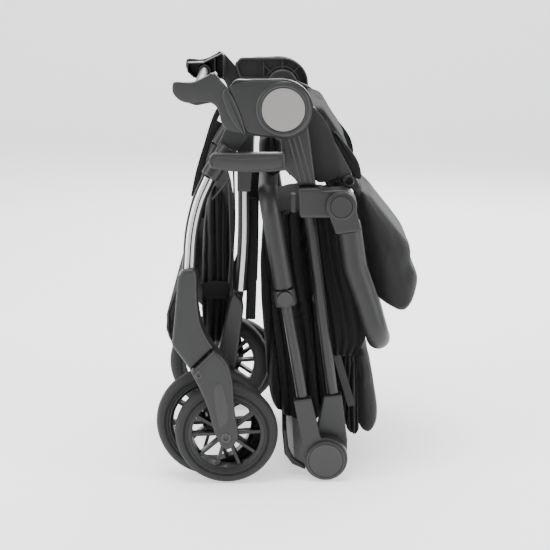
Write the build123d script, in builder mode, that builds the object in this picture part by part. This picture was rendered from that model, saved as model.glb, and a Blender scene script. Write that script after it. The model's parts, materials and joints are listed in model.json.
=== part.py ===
from build123d import *
from math import cos, radians, sin
import os

# Folded baby stroller. X runs from the front (-X) to the rear (+X), Y across it, Z up.
# The origin is on the floor in the middle of the stroller. Sizes are in millimetres.
# An (x, z) pair is a point of the side view, and a depth is a distance from the
# mid-plane, so one set of numbers serves the left (-Y) and the right (+Y) side.

SIDES = (("left", -1), ("right", 1))

# Pivots, wheel centres and other reference points of the side view
BACK_PIVOT = (-7, 601)
LEG_PIVOT = (-65, 584)
FOLD_PIVOT = (62, 36)
BUMPER_PIVOT = (84, 450)
SEAT_FRONT = (97, 483)
CANOPY_PIVOT = (51, 290)
KINGPIN = (-136, 208)
FRONT_AXLE = (-98, 83)
REAR_AXLE = (-122, 91)
LATCH_PIVOT = (-110, 523)
NOSE_BAR = (-144, 626)

# Driving sizes
FRONT_WHEEL_R = 83
REAR_WHEEL_R = 91
WHEEL_WIDTH = 32
TYRE_THICKNESS = 22
FRONT_WHEEL_DEPTH = 200
REAR_WHEEL_DEPTH = 165
AXLE_R = 5
BORE_PLAY = 0.05
FRONT_TUBE_R = 11.2
REAR_TUBE_R = 10
BACK_TUBE_R = 9.5
HANDLE_TUBE_R = 9
GRIP_R = 15.5
BUMPER_R = 19
PIN_R = 6
FOLD_R = 35.5
RING_R = 46
BADGE_R = 33.5
GAP = 0.5
SPOKE_PAIRS = 5

os.makedirs("parts", exist_ok=True)


def save(piece, label):
    piece.label = label
    export_step(piece, f"parts/{label}.step")


def save_pair(make, label):
    """Both sides of a repeated piece as two solids of one node."""
    with BuildPart() as pair:
        for _, sign in SIDES:
            add(make(sign))
    save(pair.part, label)


def side_plane(sign, inner, outer):
    """Side-view plane from which an extrusion of (outer - inner) fills that depth."""
    return Plane.XZ.offset(-max(sign * inner, sign * outer))


def point(sign, depth, place):
    return (place[0], sign * depth, place[1])


def closed_outline(straight, curved, bend=0):
    """Straight runs through (x, z) points, closed by a spline or by runs with arc bends."""
    Polyline(*straight)
    if bend:
        FilletPolyline(straight[-1], *curved, straight[0], radius=bend)
    else:
        Spline(straight[-1], *curved, straight[0])


def plate(sign, inner, outer, outline):
    """A flat plate whose side view is the given (x, z) outline."""
    with BuildPart() as piece:
        with BuildSketch(side_plane(sign, inner, outer)):
            with BuildLine():
                Polyline(*outline, close=True)
            make_face()
        extrude(amount=outer - inner)
    return piece.part


def disc(sign, inner, outer, centre, radius, bore=0):
    with BuildPart() as piece:
        with BuildSketch(side_plane(sign, inner, outer)):
            with Locations(centre):
                Circle(radius)
                if bore:
                    Circle(bore, mode=Mode.SUBTRACT)
        extrude(amount=outer - inner)
    return piece.part


def rod(points, radius, bend=0):
    """A round bar along straight runs, with arcs of the given radius at the corners."""
    with BuildPart() as piece:
        with BuildLine() as route:
            if bend:
                FilletPolyline(*points, radius=bend)
            else:
                Polyline(*points)
        with BuildSketch(Plane(origin=route.line @ 0, z_dir=route.line % 0)):
            Circle(radius)
        sweep(transition=Transition.ROUND)
    return piece.part


def box_between(x_low, x_high, y_low, y_high, z_low, z_high, edge=0):
    with BuildPart() as piece:
        with Locations(((x_low + x_high) / 2, (y_low + y_high) / 2, (z_low + z_high) / 2)):
            Box(x_high - x_low, y_high - y_low, z_high - z_low)
        if edge:
            fillet(piece.edges(), edge)
    return piece.part


# ---------------------------------------------------------------- hub, the fixed root

HUB_SKIN = 4
HUB_INNER = 188
HUB_OUTER = 203
HUB_EDGES = ((-60, 647), (-7, 647), (-7, 558), (-58, 560), (-68, 570), (-90, 632))
HUB_SHOULDER = ((-84, 647),)
RIB = 2


def hub_housing(sign):
    """A shallow shell, open inwards, with a ring boss and web of ribs round the pivot."""
    with BuildPart() as piece:
        with BuildSketch(side_plane(sign, HUB_INNER, HUB_OUTER)) as outline:
            with BuildLine():
                closed_outline(HUB_EDGES, HUB_SHOULDER, bend=12)
            make_face()
            with Locations(BACK_PIVOT):
                Circle(RING_R)
        extrude(amount=HUB_OUTER - HUB_INNER)
        hollow_outer = HUB_OUTER - HUB_SKIN
        with BuildSketch(side_plane(sign, HUB_INNER, hollow_outer)):
            offset(outline.sketch_local.faces(), -RIB - 1)
        extrude(amount=hollow_outer - HUB_INNER, mode=Mode.SUBTRACT)
        with BuildSketch(side_plane(sign, HUB_INNER + 3, hollow_outer)):
            with Locations(BACK_PIVOT, LEG_PIVOT):
                Circle(13)
            for radius in (21, 31):
                with Locations(BACK_PIVOT):
                    Circle(radius)
                    Circle(radius - RIB, mode=Mode.SUBTRACT)
            with Locations(BACK_PIVOT):
                with PolarLocations(22, 8):
                    Rectangle(42, RIB)
            with Locations((-48, 612)):
                Rectangle(64, RIB)
            with Locations((-40, 600)):
                Rectangle(RIB, 78)
            offset(outline.sketch_local.faces(), -1, mode=Mode.INTERSECT)
        extrude(amount=hollow_outer - HUB_INNER - 3)
        with BuildSketch(side_plane(sign, HUB_OUTER, HUB_OUTER + 2)):
            with Locations(BACK_PIVOT):
                Circle(RING_R - 3)
                Circle(BADGE_R + GAP, mode=Mode.SUBTRACT)
        extrude(amount=2)
        with BuildSketch(side_plane(sign, HUB_INNER, hollow_outer)):
            with Locations(BACK_PIVOT, LEG_PIVOT):
                Circle(PIN_R)
        extrude(amount=hollow_outer - HUB_INNER, mode=Mode.SUBTRACT)
    return piece.part


NOSE_EDGES = ((-164, 614), (-175, 624), (-175, 640), (-146, 641), (-113, 657), (-91.5, 633),
              (-68.5, 567), (-86, 569))
NOSE_BELLY = ((-104, 580), (-106, 614), (-142, 607))
NOSE_HEAD_INNER = 165


def hub_nose(sign):
    """The beak in front of the hub: a thin neck and a deeper, ribbed head."""
    with BuildPart() as piece:
        with BuildSketch(side_plane(sign, HUB_OUTER - 5, HUB_OUTER)) as outline:
            with BuildLine():
                closed_outline(NOSE_EDGES, NOSE_BELLY, bend=12)
            make_face()
        extrude(amount=5)
        head_depth = HUB_OUTER - 5 - NOSE_HEAD_INNER
        with BuildSketch(side_plane(sign, NOSE_HEAD_INNER, HUB_OUTER - 5)) as head:
            add(outline.sketch_local)
            with Locations((-145, 630)):
                Rectangle(70, 70, mode=Mode.INTERSECT)
        extrude(amount=head_depth)
        with BuildSketch(side_plane(sign, NOSE_HEAD_INNER, HUB_OUTER - 5)):
            offset(head.sketch_local.faces(), -RIB - 0.5)
            with Locations(NOSE_BAR):
                Circle(10.5, mode=Mode.SUBTRACT)
            with Locations((-126, 630)):
                Rectangle(RIB, 70, mode=Mode.SUBTRACT)
        extrude(amount=head_depth, mode=Mode.SUBTRACT)
        with BuildSketch(side_plane(sign, NOSE_HEAD_INNER, HUB_OUTER - 5)):
            with Locations(NOSE_BAR):
                Circle(7.5)
        extrude(amount=head_depth, mode=Mode.SUBTRACT)
    return piece.part


for side, sign in SIDES:
    save(hub_housing(sign), f"hub_housing_{side}")
save_pair(hub_nose, "hub_noses")
save_pair(lambda sign: disc(sign, HUB_OUTER, HUB_OUTER + 3, BACK_PIVOT, BADGE_R), "hub_badges")

NOSE_BAR_HALF = HUB_OUTER - 5
save(rod([point(-1, NOSE_BAR_HALF, NOSE_BAR), point(1, NOSE_BAR_HALF, NOSE_BAR)], 7.5),
     "nose_crossbar")


def pivot_pins(place, inner):
    """One headed pin on each side, held in the hub housing."""
    with BuildPart() as piece:
        for _, sign in SIDES:
            with BuildSketch(side_plane(sign, inner, HUB_OUTER - HUB_SKIN)):
                with Locations(place):
                    Circle(PIN_R)
            extrude(amount=HUB_OUTER - HUB_SKIN - inner)
            with BuildSketch(side_plane(sign, inner - 3, inner)):
                with Locations(place):
                    Circle(PIN_R + 3)
            extrude(amount=3)
    return piece.part


save(pivot_pins(BACK_PIVOT, 162.6), "back_pivot_pins")
save(pivot_pins(LEG_PIVOT, 162.2), "leg_pivot_pins")

# ---------------------------------------------------------------- front legs

FRONT_SLEEVE_TOP = (-93, 540)
FRONT_SLEEVE_END = (-123, 494)
FRONT_TUBE = ((-124, 191.4, 491.8), (-140, 197, 455), (-151, 203, 407), (-155.5, 213, 345))
SHOE_TOE = ((-117, 227), (-153, 191), (-158, 196), (-183, 232), (-180, 261), (-172, 342),
            (-165, 352), (-156, 355), (-147, 355), (-143, 348))
SHOE_BACK = ((-142, 310), (-135, 261), (-126, 241))
SHOE_INNER = 195
SHOE_OUTER = 237


def front_knuckle(sign):
    """The eye on the leg pivot, its link, and the sleeve that takes the front tube."""
    with BuildPart() as piece:
        with BuildSketch(side_plane(sign, 176, 187)):
            with BuildLine():
                Polyline((-84, 597), (-48, 570), (-88, 524), (-112, 540), close=True)
            make_face()
            with Locations(LEG_PIVOT):
                Circle(24)
        extrude(amount=11)
        sleeve = rod([point(sign, 184, FRONT_SLEEVE_TOP), point(sign, 191, FRONT_SLEEVE_END)], 15)
        add(sleeve)
        with BuildSketch(side_plane(sign, 170, 198)):
            with Locations(LEG_PIVOT):
                Circle(PIN_R + BORE_PLAY)
        extrude(amount=28, mode=Mode.SUBTRACT)
    return piece.part


def front_tube(sign, play=0):
    return rod([(x, sign * depth, z) for x, depth, z in FRONT_TUBE], FRONT_TUBE_R + play, bend=120)


def front_shoe(sign):
    with BuildPart() as piece:
        with BuildSketch(side_plane(sign, SHOE_INNER, SHOE_OUTER)):
            with BuildLine():
                closed_outline(SHOE_TOE, SHOE_BACK)
            make_face()
        extrude(amount=SHOE_OUTER - SHOE_INNER)
        fillet(piece.faces().sort_by(Axis.Y)[0 if sign < 0 else -1].edges(), 5)
        bottom = (KINGPIN[0], sign * 216, KINGPIN[1])
        with BuildSketch(Plane(origin=bottom, z_dir=(1, 0, -1))):
            Circle(8)
        extrude(amount=-30, mode=Mode.SUBTRACT)
        add(front_tube(sign, BORE_PLAY), mode=Mode.SUBTRACT)
    return piece.part


TREAD_BACK = ((-184, 218), (-176, 222), (-176, 250), (-172, 290), (-162, 318), (-172, 322))
TREAD_FACE = ((-187, 298), (-194.5, 262), (-191, 234))


def footboard():
    """A curved tread between the front shoes, with raised ribs across its outer face."""
    half = SHOE_INNER - GAP
    with BuildPart() as piece:
        with BuildSketch(Plane.XZ.offset(-half)):
            with BuildLine():
                closed_outline(TREAD_BACK, TREAD_FACE)
            make_face()
        extrude(amount=2 * half)
        with BuildSketch(Plane.YZ.offset(-200)):
            with Locations((0, 268)):
                with GridLocations(24, 1, 15, 1):
                    Rectangle(4, 70, rotation=25)
        extrude(amount=8, mode=Mode.SUBTRACT)
    return piece.part


for side, sign in SIDES:
    save(front_knuckle(sign), f"front_knuckle_{side}")
    save(front_shoe(sign), f"front_shoe_{side}")
save_pair(front_tube, "front_tubes")
save(footboard(), "footboard")

# ---------------------------------------------------------------- fold latch, left side

LATCH_INNER = 206
LATCH_OUTER = 226
LATCH_EYE_R = 13
LATCH_EDGES = ((-110, 510), (-110, 536), (-5, 536), (-3, 509))
LATCH_BELLY = ((-56, 506),)


def fold_latch():
    """The bar that holds the fold, with a round eye about its pivot."""
    with BuildPart() as piece:
        with BuildSketch(side_plane(-1, LATCH_INNER, LATCH_OUTER)):
            with BuildLine():
                closed_outline(LATCH_EDGES, LATCH_BELLY)
            make_face()
            with Locations(LATCH_PIVOT):
                Circle(LATCH_EYE_R)
        extrude(amount=LATCH_OUTER - LATCH_INNER)
        fillet(piece.faces().sort_by(Axis.Y)[0].edges(), 3)
    return piece.part


save(fold_latch(), "fold_latch")

# ---------------------------------------------------------------- casters

FORK_EDGES = ((-153, 190), (-117, 226))
FORK_SWEEP = ((-96, 206), (-87, 174), (-82, 112), (-80, 80), (-96, 63), (-112, 80), (-124, 120),
              (-140, 164))
FORK_INNER = 233.5
FORK_OUTER = 248
HEAD_INNER = 199
KINGPIN_AXIS = (1, 0, -1)


def caster_fork(sign):
    """One arm outside the wheel, under a head block that turns on the kingpin."""
    with BuildPart() as piece:
        with BuildSketch(side_plane(sign, FORK_INNER, FORK_OUTER)) as arm:
            with BuildLine():
                closed_outline(FORK_EDGES, FORK_SWEEP)
            make_face()
        extrude(amount=FORK_OUTER - FORK_INNER)
        with BuildSketch(side_plane(sign, HEAD_INNER, FORK_INNER)):
            with BuildLine():
                Polyline((-117, 226), (-153, 190), (-149, 184), (-106, 187), (-98, 206),
                         close=True)
            make_face()
        extrude(amount=FORK_INNER - HEAD_INNER)
        fillet(piece.faces().sort_by(Axis.Y)[0 if sign < 0 else -1].edges(), 4)
        top = Plane(origin=(KINGPIN[0], sign * 216, KINGPIN[1]), z_dir=KINGPIN_AXIS)
        with BuildSketch(top.offset(-2)):
            Rectangle(90, 90)
        extrude(amount=2.8, mode=Mode.SUBTRACT)
        with BuildSketch(side_plane(sign, FORK_INNER - 8, FORK_OUTER)):
            with Locations(FRONT_AXLE):
                Circle(AXLE_R)
        extrude(amount=FORK_OUTER - FORK_INNER + 8, mode=Mode.SUBTRACT)
        with BuildSketch(top):
            Circle(7)
        extrude(amount=14, mode=Mode.SUBTRACT)
    return piece.part


def kingpin(sign):
    """Pressed into the fork head, turning in the bore of the shoe."""
    top = Plane(origin=(KINGPIN[0], sign * 216, KINGPIN[1]), z_dir=KINGPIN_AXIS)
    with BuildPart() as piece:
        with BuildSketch(top.offset(-29)):
            Circle(8 - BORE_PLAY)
        extrude(amount=29.5)
        with BuildSketch(top.offset(0.5)):
            Circle(7)
        extrude(amount=13)
    return piece.part


for side, sign in SIDES:
    save(caster_fork(sign), f"caster_fork_{side}")
    save(kingpin(sign), f"kingpin_{side}")

# ---------------------------------------------------------------- wheels


def rim(sign, centre, depth, radius, bore):
    """Hub, ring and pairs of spokes, with a plain round seat for the tyre."""
    seat = radius - TYRE_THICKNESS
    with BuildPart() as piece:
        with BuildSketch(side_plane(sign, depth + 3, depth + WHEEL_WIDTH - 3)):
            with Locations(centre):
                Circle(seat)
                Circle(seat - 6, mode=Mode.SUBTRACT)
        extrude(amount=WHEEL_WIDTH - 6)
        with BuildSketch(side_plane(sign, depth + 1, depth + WHEEL_WIDTH - 1)):
            with Locations(centre):
                Circle(15)
        extrude(amount=WHEEL_WIDTH - 2)
        with BuildSketch(side_plane(sign, depth + 9, depth + WHEEL_WIDTH - 6)):
            for pair in range(SPOKE_PAIRS):
                for spread in (-17, 17):
                    angle = 21 + 72 * pair + spread
                    reach = (seat + 9) / 2
                    middle = (centre[0] + reach * cos(radians(angle)),
                              centre[1] + reach * sin(radians(angle)))
                    with Locations(middle):
                        Rectangle(seat - 16, 5, rotation=angle)
        extrude(amount=WHEEL_WIDTH - 15)
        with BuildSketch(side_plane(sign, depth, depth + WHEEL_WIDTH)):
            with Locations(centre):
                Circle(bore)
        extrude(amount=WHEEL_WIDTH, mode=Mode.SUBTRACT)
    return piece.part


def tyre(sign, centre, depth, radius):
    """Foam tyre of revolution with rounded shoulders."""
    seat = radius - TYRE_THICKNESS
    middle = sign * (depth + WHEEL_WIDTH / 2)
    with BuildPart() as piece:
        with BuildSketch(Plane(origin=(centre[0], middle, centre[1]), x_dir=(1, 0, 0),
                               z_dir=(0, 0, 1))) as section:
            with Locations((seat + TYRE_THICKNESS / 2, 0)):
                Rectangle(TYRE_THICKNESS, WHEEL_WIDTH)
            fillet(section.vertices().group_by(Axis.X)[-1], 10)
        revolve(axis=Axis((centre[0], middle, centre[1]), (0, 1, 0)))
    return piece.part


for side, sign in SIDES:
    save(rim(sign, FRONT_AXLE, FRONT_WHEEL_DEPTH, FRONT_WHEEL_R, AXLE_R + BORE_PLAY),
         f"front_rim_{side}")
    save(tyre(sign, FRONT_AXLE, FRONT_WHEEL_DEPTH, FRONT_WHEEL_R), f"front_tyre_{side}")
    save(rim(sign, REAR_AXLE, REAR_WHEEL_DEPTH, REAR_WHEEL_R, AXLE_R + BORE_PLAY),
         f"rear_rim_{side}")
    save(tyre(sign, REAR_AXLE, REAR_WHEEL_DEPTH, REAR_WHEEL_R), f"rear_tyre_{side}")
    save(disc(sign, FRONT_WHEEL_DEPTH + 2, FORK_OUTER - 1, FRONT_AXLE, AXLE_R),
         f"front_axle_{side}")

# ---------------------------------------------------------------- rear legs and axle

REAR_TUBE_DEPTH = 152
REAR_TUBE = ((-69, 466), (-70, 385), (-76, 304))
REAR_SHOE_EDGES = ((-110, 78), (-82, 187), (-71, 270), (-72, 283), (-87, 303), (-95, 282),
                   (-108, 222), (-139, 100))
REAR_SHOE_TOE = ((-138, 84), (-124, 74))


def rear_knuckle(sign):
    with BuildPart() as piece:
        with BuildSketch(side_plane(sign, 163, 174.5)):
            with BuildLine():
                Polyline((-79, 584), (-53, 584), (-58, 467), (-80, 467), close=True)
            make_face()
            with Locations(LEG_PIVOT):
                Circle(22)
                Circle(PIN_R + BORE_PLAY, mode=Mode.SUBTRACT)
        extrude(amount=11.5)
        with BuildSketch(side_plane(sign, 140.5, 163)):
            with Locations((-69, 494)):
                Rectangle(22, 54)
        extrude(amount=22.5)
    return piece.part


def rear_shoe(sign):
    with BuildPart() as piece:
        with BuildSketch(side_plane(sign, 138, 160)):
            with BuildLine():
                closed_outline(REAR_SHOE_EDGES, REAR_SHOE_TOE)
            make_face()
            with Locations(REAR_AXLE):
                Circle(AXLE_R, mode=Mode.SUBTRACT)
        extrude(amount=22)
        fillet(piece.faces().sort_by(Axis.Y)[0 if sign < 0 else -1].outer_wire().edges(), 3)
    return piece.part


def rear_tube(sign):
    return rod([point(sign, REAR_TUBE_DEPTH, place) for place in REAR_TUBE], REAR_TUBE_R, bend=150)


save_pair(rear_knuckle, "rear_knuckles")
save_pair(rear_tube, "rear_tubes")
save_pair(rear_shoe, "rear_shoes")

AXLE_HALF = REAR_WHEEL_DEPTH + WHEEL_WIDTH - 1
save(rod([point(-1, AXLE_HALF, REAR_AXLE), point(1, AXLE_HALF, REAR_AXLE)], AXLE_R), "rear_axle")


def brake_pedal():
    """A treadle clipped round the middle of the rear axle."""
    with BuildPart() as piece:
        with BuildSketch(Plane.XZ.offset(-45)):
            with BuildLine():
                Polyline((-128, 101), (-112, 101), (-70, 88), (-70, 80), (-114, 80),
                         (-130, 82), close=True)
            make_face()
            with Locations(REAR_AXLE):
                Circle(AXLE_R + BORE_PLAY, mode=Mode.SUBTRACT)
        extrude(amount=90)
    return piece.part


save(brake_pedal(), "brake_pedal")

# ---------------------------------------------------------------- back frame

BACK_INNER = 164
BACK_OUTER = 187
BACK_TUBE_DEPTH = 176
BACK_TUBE = ((26.4, 475.5), (38, 410), (57, 259), (73, 137))
BACK_SLEEVE_EDGES = ((17, 478), (45, 478), (38, 530), (32, 573), (20, 598), (-14, 598),
                     (-11, 549), (-8, 512))
BACK_SLEEVE_HEEL = ((-2, 501), (9, 491))


def back_knuckle(sign):
    with BuildPart() as piece:
        with BuildSketch(side_plane(sign, BACK_INNER, BACK_OUTER)):
            with BuildLine():
                closed_outline(BACK_SLEEVE_EDGES, BACK_SLEEVE_HEEL)
            make_face()
            with Locations(BACK_PIVOT):
                Circle(27)
                Circle(PIN_R + BORE_PLAY, mode=Mode.SUBTRACT)
        extrude(amount=BACK_OUTER - BACK_INNER)
        fillet(piece.faces().sort_by(Axis.Y)[0 if sign < 0 else -1].outer_wire().edges(), 4)
    return piece.part


BLOCK_OUTLINE = ((16, 477.5), (47, 477.5), (56, 474), (84, 475), (108, 456), (108, 444),
                 (84, 425), (71, 430), (20, 430), (18, 436))


def back_tube(sign, play=0):
    route = [point(sign, BACK_TUBE_DEPTH, place) for place in BACK_TUBE]
    return rod(route, BACK_TUBE_R + play, bend=300)


def bumper_mount(sign):
    """The block clamped on the back tube that carries the bumper bar's pivot."""
    with BuildPart() as piece:
        with BuildSketch(side_plane(sign, BACK_INNER + 2, 204)):
            with BuildLine():
                Polyline(*BLOCK_OUTLINE, close=True)
            make_face()
            with Locations(BUMPER_PIVOT):
                Circle(25)
        extrude(amount=202 - BACK_INNER)
        fillet(piece.faces().sort_by(Axis.Y)[0 if sign < 0 else -1].edges(), 4)
        with BuildSketch(side_plane(sign, 195, 204)):
            with Locations(BUMPER_PIVOT):
                Circle(8 + BORE_PLAY)
        extrude(amount=9, mode=Mode.SUBTRACT)
        with BuildSketch(side_plane(sign, 175.5, 198.5)):
            with Locations((12, 452.5)):
                Rectangle(18, 30)
        extrude(amount=23, mode=Mode.SUBTRACT)
        add(back_tube(sign, BORE_PLAY), mode=Mode.SUBTRACT)
    return piece.part


def fold_knuckle(sign):
    """The lower end of the back tube: half of the folding joint."""
    with BuildPart() as piece:
        with BuildSketch(side_plane(sign, BACK_INNER + 1, 190)):
            with BuildLine():
                Polyline((59, 134), (88, 137), (98, 60), (97, 30), (62, 20), (40, 36), close=True)
            make_face()
            with Locations(FOLD_PIVOT):
                Circle(FOLD_R - 0.5)
                Circle(9 + BORE_PLAY, mode=Mode.SUBTRACT)
        extrude(amount=189 - BACK_INNER)
    return piece.part


RAIL_OUTLINE = ((-9, 78), (-1, 78), (2, 48), (10, 30), (30, 16), (30, 8), (8, 18), (-5, 36))

save_pair(back_knuckle, "back_knuckles")
save_pair(back_tube, "back_tubes")
save_pair(bumper_mount, "bumper_mounts")
for side, sign in SIDES:
    save(fold_knuckle(sign), f"fold_knuckle_{side}")

with BuildPart() as stand_rail:
    with BuildSketch(Plane.XZ.offset(-187)):
        with BuildLine():
            Polyline(*RAIL_OUTLINE, close=True)
        make_face()
    extrude(amount=374)
save(stand_rail.part, "stand_rail")

# ---------------------------------------------------------------- folding handle

HANDLE_DEPTH = 201
HANDLE_AXIS = (-0.165, 0.986)


def along_handle(distance):
    return (24 + HANDLE_AXIS[0] * distance, 137 + HANDLE_AXIS[1] * distance)


def handle_knuckle(sign):
    with BuildPart() as piece:
        with BuildSketch(side_plane(sign, 190.5, 215)):
            with BuildLine():
                Polyline((10, 134), (38, 138), (53, 73), (80, 50), (62, 10), (30, 30), close=True)
            make_face()
            with Locations(FOLD_PIVOT):
                Circle(FOLD_R)
        extrude(amount=24.5)
        with BuildSketch(side_plane(sign, 168, 190.5)):
            with Locations(FOLD_PIVOT):
                Circle(9)
        extrude(amount=22.5)
    return piece.part


def handle_collar(sign):
    """A clamp collar round the tube, with a hole for the height button."""
    with BuildPart() as piece:
        centre = along_handle(168)
        base = Plane(origin=point(sign, HANDLE_DEPTH, centre),
                     z_dir=(HANDLE_AXIS[0], 0, HANDLE_AXIS[1]))
        with BuildSketch(base.offset(-13)):
            Circle(17.5)
            Circle(HANDLE_TUBE_R, mode=Mode.SUBTRACT)
        extrude(amount=26)
        with BuildSketch(side_plane(sign, HANDLE_DEPTH + 11, HANDLE_DEPTH + 20)):
            with Locations(centre):
                Circle(12.6)
        extrude(amount=9, mode=Mode.SUBTRACT)
    return piece.part


GRIP_END = along_handle(184)
GRIP_BEND = along_handle(335)


def grip():
    """One U-shaped grip: two legs down to the collars and a bar across the top."""
    half = HANDLE_DEPTH - 1
    return rod([point(-1, half, GRIP_END), point(-1, half, GRIP_BEND),
                point(1, half, GRIP_BEND), point(1, half, GRIP_END)], GRIP_R, bend=34)


def handle_tube(sign):
    return rod([point(sign, HANDLE_DEPTH, along_handle(1.5)),
                point(sign, HANDLE_DEPTH, along_handle(183.5))], HANDLE_TUBE_R)


save_pair(lambda sign: disc(sign, 215, 221.5, FOLD_PIVOT, FOLD_R - 4), "fold_caps")
save_pair(handle_tube, "handle_tubes")
save_pair(handle_collar, "handle_collars")
for side, sign in SIDES:
    save(handle_knuckle(sign), f"handle_knuckle_{side}")
    save(disc(sign, HANDLE_DEPTH + 14, HANDLE_DEPTH + 20, along_handle(168), 12),
         f"height_button_{side}")
save(grip(), "handle_grip")

# ---------------------------------------------------------------- bumper bar

BUMPER_DEPTH = 195
RELEASE_X = (4.5, 13.5)
RELEASE_Z = (438, 467)
RELEASE_INNER = 176
RELEASE_OUTER = 198
BUMPER_PATH = ((98.3, 408.5), (107, 350), (128, 290), (147, 228))


def bumper_bar():
    near = [point(-1, BUMPER_DEPTH, place) for place in BUMPER_PATH]
    far = [point(1, BUMPER_DEPTH, place) for place in reversed(BUMPER_PATH)]
    return rod(near + far, BUMPER_R, bend=30)


def bumper_end(sign):
    """The eye on the bumper pivot and the collar that holds the padded bar."""
    with BuildPart() as piece:
        with BuildSketch(side_plane(sign, 204.5, 215)):
            with Locations(BUMPER_PIVOT):
                Circle(24)
            with BuildLine():
                Polyline((64, 437), (108, 441), (116, 412), (76, 406), close=True)
            make_face()
        extrude(amount=10.5)
        with BuildSketch(side_plane(sign, 176, 204.5)):
            with BuildLine():
                Polyline((77, 419.5), (114, 424.5), (117, 412), (79, 407), close=True)
            make_face()
        extrude(amount=28.5)
        with BuildSketch(side_plane(sign, 195.5, 204.5)):
            with Locations(BUMPER_PIVOT):
                Circle(8)
        extrude(amount=9)
    return piece.part


save(bumper_bar(), "bumper_bar")
save_pair(bumper_end, "bumper_ends")
for side, sign in SIDES:
    inner, outer = sorted((sign * RELEASE_INNER, sign * RELEASE_OUTER))
    save(box_between(*RELEASE_X, inner, outer, *RELEASE_Z, edge=2), f"release_button_{side}")

# ---------------------------------------------------------------- seat and leg rest

RAIL_INNER = 149
RAIL_OUTER = 157
SEAT_RAIL = ((5, 606), (19, 610), (44, 598), (72, 550), (103, 494), (90, 478), (62, 530), (30, 578),
             (0, 590))

save_pair(lambda sign: plate(sign, RAIL_INNER, RAIL_OUTER, SEAT_RAIL), "seat_rails")
save(rod([point(-1, 148.7, SEAT_FRONT), point(1, 148.7, SEAT_FRONT)], 8), "seat_front_tube")

SEAT_PAD = ((24, 603), (46, 603), (72, 560), (100, 516), (84, 506), (62, 540), (32, 586))
LEG_REST = ((120, 466), (128, 455), (152, 424), (182, 388), (199, 362), (201, 333), (213, 311),
            (212, 284), (207, 263), (192, 254), (166, 266), (150, 277), (138, 320), (126, 380),
            (116, 440))


def cushion(outline, half):
    with BuildPart() as piece:
        with BuildSketch(Plane.XZ.offset(-half)):
            with BuildLine():
                Polyline(*outline, close=True)
            make_face()
        extrude(amount=2 * half)
    return piece.part


def leg_rest_hinge():
    """A half-round clip board that turns on the seat's front tube."""
    with BuildPart() as piece:
        with BuildSketch(Plane.XZ.offset(-120)):
            with Locations(SEAT_FRONT):
                Circle(13)
            with BuildLine():
                Polyline((92, 472), (110, 483), (118, 466), (112, 455), close=True)
            make_face()
            with Locations(SEAT_FRONT):
                Circle(8 + BORE_PLAY, mode=Mode.SUBTRACT)
        extrude(amount=240)
    return piece.part


save(cushion(SEAT_PAD, 148.5), "seat_pad")
save(leg_rest_hinge(), "leg_rest_hinge")
save(cushion(LEG_REST, 138), "leg_rest_pad")

# ---------------------------------------------------------------- soft goods

BACKREST = ((-46, 335), (-41, 235), (-35, 145), (-28, 110), (-12, 86), (8, 82), (58, 74), (74, 100),
            (64, 200), (76, 240), (99, 274), (106, 300), (92, 336), (97, 360), (99, 398), (92, 428),
            (60, 432), (-4, 436), (-38, 420))
CANOPY = ((92, 236), (82, 190), (80, 120), (92, 62), (112, 52), (146, 56), (150, 76), (149, 92),
          (132, 196), (112, 204))
BASKET = ((-104, 470), (-92, 430), (-90, 330), (-96, 215), (-140, 205), (-144, 280), (-138, 400),
          (-128, 470))

save(cushion(BACKREST, 148), "backrest")
save(cushion(CANOPY, 150), "canopy_fabric")
save(cushion(BASKET, 132), "basket")


def canopy_strip(sign):
    """A flat strip from the hood's pivot button down the side of the folded hood."""
    with BuildPart() as piece:
        with BuildSketch(side_plane(sign, 152, 156)):
            with BuildLine():
                Polyline((45, 294), (57, 296), (112, 110), (100, 106), close=True)
            make_face()
            with Locations(CANOPY_PIVOT):
                Circle(11)
        extrude(amount=4)
    return piece.part


save_pair(canopy_strip, "canopy_strips")
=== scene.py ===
import json
import math

import bmesh
import bpy
import numpy as np
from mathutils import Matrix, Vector


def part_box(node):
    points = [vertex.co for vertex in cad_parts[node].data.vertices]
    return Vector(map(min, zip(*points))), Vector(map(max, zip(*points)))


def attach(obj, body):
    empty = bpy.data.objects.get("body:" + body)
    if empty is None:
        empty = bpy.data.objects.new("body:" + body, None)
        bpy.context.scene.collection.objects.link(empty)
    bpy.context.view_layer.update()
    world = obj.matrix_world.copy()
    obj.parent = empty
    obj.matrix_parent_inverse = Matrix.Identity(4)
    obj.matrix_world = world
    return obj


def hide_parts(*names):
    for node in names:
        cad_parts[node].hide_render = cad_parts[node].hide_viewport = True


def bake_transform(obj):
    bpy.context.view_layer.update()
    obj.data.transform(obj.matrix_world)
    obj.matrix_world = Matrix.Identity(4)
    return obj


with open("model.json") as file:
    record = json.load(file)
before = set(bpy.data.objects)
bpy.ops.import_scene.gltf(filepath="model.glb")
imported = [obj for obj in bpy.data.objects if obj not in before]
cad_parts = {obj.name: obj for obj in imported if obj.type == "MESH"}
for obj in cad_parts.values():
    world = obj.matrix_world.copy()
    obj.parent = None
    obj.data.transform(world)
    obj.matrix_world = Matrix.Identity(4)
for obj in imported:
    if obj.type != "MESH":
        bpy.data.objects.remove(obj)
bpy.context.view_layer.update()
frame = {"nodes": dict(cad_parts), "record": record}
nodes = frame["nodes"]
record = frame["record"]
bodies = record["behaviour"]["bodies"]
body_of_node = {node: body for body, members in bodies.items() for node in members}

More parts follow.
